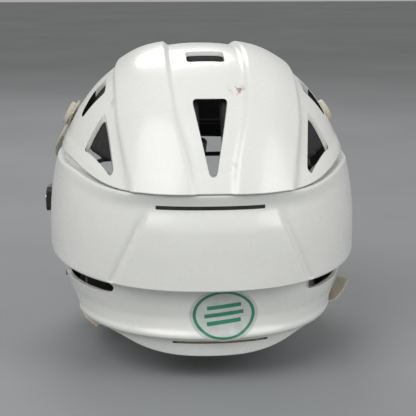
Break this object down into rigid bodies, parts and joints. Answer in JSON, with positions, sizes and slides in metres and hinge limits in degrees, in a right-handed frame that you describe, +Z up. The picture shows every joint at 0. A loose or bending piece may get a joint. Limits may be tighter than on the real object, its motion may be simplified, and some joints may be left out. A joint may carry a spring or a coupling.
{
  "type": "lacrosse helmet",
  "caption": "Field lacrosse helmet: white two-piece shell with raised lobes and vents, black visor and wire face mask, chin guard, foam liner, nape fit cradle and swinging chin harness.",
  "frame": {"origin": "middle of the footprint, at the level of the jaw flaps' lower edges, on which the helmet stands", "axes": "+X the wearer's left, -Y the face and the mask, +Z up through the crown"},
  "size_m": [0.2422, 0.304, 0.2275],
  "materials": {
    "shell_white": "gloss white, lightly scuffed",
    "visor_black": "black, semi gloss",
    "wire_black": "black powder coat on steel wire",
    "liner_foam": "dark expanded foam",
    "pad_cloth": "dark brushed cloth over soft foam",
    "cradle_plastic": "satin dark plastic",
    "webbing_cream": "cream woven webbing",
    "screw_steel": "bare steel"
  },
  "bodies": {
    "shell": {"chin_guard": "shell_white", "chin_nuts": "screw_steel", "chin_screws": "screw_steel", "clip_nuts": "screw_steel", "clip_screws": "screw_steel", "cradle_sockets": "cradle_plastic", "crown_shell": "shell_white", "harness_pivots": "screw_steel", "jaw_pad_left": "pad_cloth", "jaw_pad_right": "pad_cloth", "liner_front": "liner_foam", "liner_left": "liner_foam", "liner_rear_left": "liner_foam", "liner_rear_right": "liner_foam", "liner_right": "liner_foam", "liner_top": "liner_foam", "mask_clip_left": "visor_black", "mask_clip_right": "visor_black", "mask_eye_bar": "wire_black", "mask_frame": "wire_black", "mask_inner_uprights": "wire_black", "mask_mid_bar": "wire_black", "mask_outer_uprights": "wire_black", "mask_top_clip": "visor_black", "mask_top_loop": "wire_black", "pad_brow": "pad_cloth", "pad_crown": "pad_cloth", "pivot_nuts": "screw_steel", "rear_shell": "shell_white", "shell_nuts": "screw_steel", "shell_screws": "screw_steel", "top_clip_screw": "screw_steel", "upper_caps": "visor_black", "upper_strap_left": "webbing_cream", "upper_strap_right": "webbing_cream", "upper_studs": "screw_steel", "visor": "visor_black", "visor_nuts": "screw_steel", "visor_screws": "screw_steel"},
    "cradle": {"fit_cradle": "cradle_plastic", "cradle_pad": "pad_cloth"},
    "harness": {"chin_cup": "cradle_plastic", "cup_pad": "pad_cloth", "cup_rivets": "screw_steel", "lower_strap_left": "webbing_cream", "lower_strap_right": "webbing_cream", "pivot_plates": "cradle_plastic", "plate_rivets": "screw_steel", "strap_tail_left": "webbing_cream", "strap_tail_right": "webbing_cream"}
  },
  "joints": [
    {"name": "cradle_slide", "type": "slide", "parent": "shell", "child": "cradle", "axis": [0, -1, 0], "range_m": [0, 0.008]},
    {"name": "chin_harness_swing", "type": "hinge", "parent": "shell", "child": "harness", "pos_m": [0, 0.025, 0.054], "axis": [-1, 0, 0], "range_deg": [0, 15], "deforming": ["upper_strap_left", "upper_strap_right"]}
  ]
}
